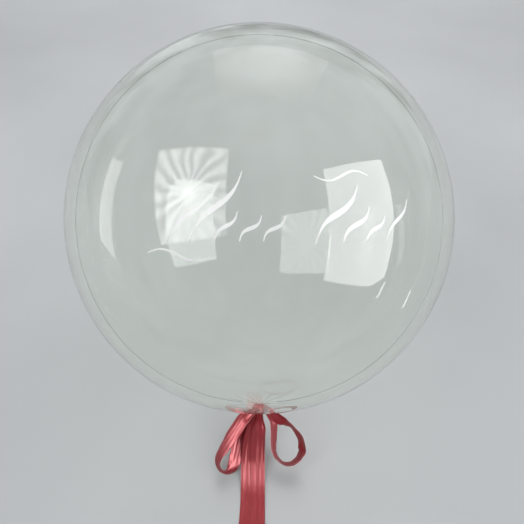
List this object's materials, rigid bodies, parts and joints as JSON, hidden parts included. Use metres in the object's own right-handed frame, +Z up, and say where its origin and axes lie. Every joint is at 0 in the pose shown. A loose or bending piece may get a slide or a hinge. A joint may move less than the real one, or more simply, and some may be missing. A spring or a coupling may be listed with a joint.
{
  "type": "helium balloon",
  "caption": "Clear film balloon lying on its side, with white ornament strokes on its front and a satin ribbon bow whose long end is wound in a coil.",
  "frame": {"origin": "centre of the flat rest spot on the balloon's underside, on the floor", "axes": "+Z up from the floor, -Y from the balloon towards its neck, bow and ribbon ends, +X to the right as seen from the front"},
  "size_m": [0.5592, 0.7842, 0.5571],
  "materials": {
    "clear_film": "clear stretched film, glossy",
    "satin_ribbon": "dusty rose satin with a bright sheen",
    "white_vinyl": "white self-adhesive film, satin"
  },
  "bodies": {
    "root": {"balloon_film": "clear_film", "ribbon_bow": "satin_ribbon", "ribbon_short_end": "satin_ribbon", "ribbon_long_end": "satin_ribbon", "ribbon_coil": "satin_ribbon", "ribbon_tie": "satin_ribbon", "white_stroke_1": "white_vinyl", "white_stroke_2": "white_vinyl", "white_stroke_3": "white_vinyl", "white_stroke_4": "white_vinyl", "white_stroke_5": "white_vinyl", "white_stroke_6": "white_vinyl", "white_stroke_7": "white_vinyl", "white_stroke_8": "white_vinyl", "white_stroke_9": "white_vinyl", "white_stroke_10": "white_vinyl", "white_stroke_11": "white_vinyl"}
  },
  "joints": []
}
